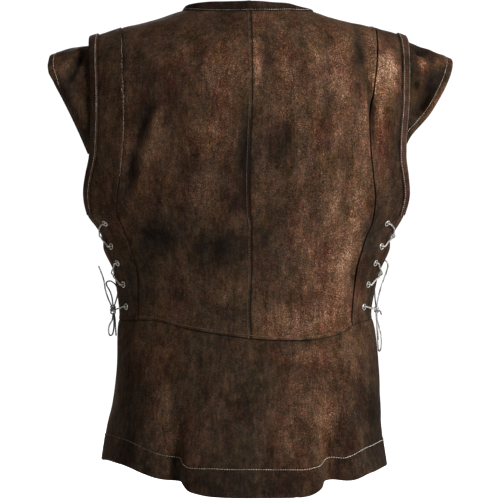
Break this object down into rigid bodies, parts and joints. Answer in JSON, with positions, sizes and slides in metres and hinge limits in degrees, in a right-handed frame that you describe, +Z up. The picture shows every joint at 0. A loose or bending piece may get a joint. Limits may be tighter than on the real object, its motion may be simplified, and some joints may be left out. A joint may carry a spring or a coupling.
{
  "type": "leather jerkin",
  "caption": "Hollow sleeveless suede jerkin with a waist seam, short flared skirt, small cap sleeves, a low round neck and laced side openings, held as worn.",
  "frame": {"origin": "the middle of the neck, level with the inner ends of the shoulders, where the wearer holds the garment up", "axes": "+Z up the wearer's trunk, +Y the way the wearer faces, +X to the wearer's right, so the back of the garment is at -Y"},
  "size_m": [0.5645, 0.2845, 0.6685],
  "materials": {
    "suede": "napped suede, worn and mottled",
    "binding": "smoother cut strips of the same leather",
    "nickel": "dull plated eyelets",
    "cord": "waxed round cord"
  },
  "bodies": {
    "root": {"front": "suede", "skirt_back": "suede", "skirt_front": "suede", "neckband": "binding", "back_left": "suede", "side_left": "suede", "armhole_band_left": "binding", "cap_left": "suede", "eyelet_left_back_1": "nickel", "eyelet_left_back_2": "nickel", "eyelet_left_back_3": "nickel", "eyelet_left_back_4": "nickel", "eyelet_left_back_5": "nickel", "eyelet_left_front_1": "nickel", "eyelet_left_front_2": "nickel", "eyelet_left_front_3": "nickel", "eyelet_left_front_4": "nickel", "eyelet_left_front_5": "nickel", "lace_left": "cord", "knot_left": "cord", "bow_left_loop_up": "cord", "bow_left_loop_down": "cord", "bow_left_end_up": "cord", "bow_left_end_down": "cord", "back_right": "suede", "side_right": "suede", "armhole_band_right": "binding", "cap_right": "suede", "eyelet_right_back_1": "nickel", "eyelet_right_back_2": "nickel", "eyelet_right_back_3": "nickel", "eyelet_right_back_4": "nickel", "eyelet_right_back_5": "nickel", "eyelet_right_front_1": "nickel", "eyelet_right_front_2": "nickel", "eyelet_right_front_3": "nickel", "eyelet_right_front_4": "nickel", "eyelet_right_front_5": "nickel", "lace_right": "cord", "knot_right": "cord", "bow_right_loop_up": "cord", "bow_right_loop_down": "cord", "bow_right_end_up": "cord", "bow_right_end_down": "cord"}
  },
  "joints": []
}
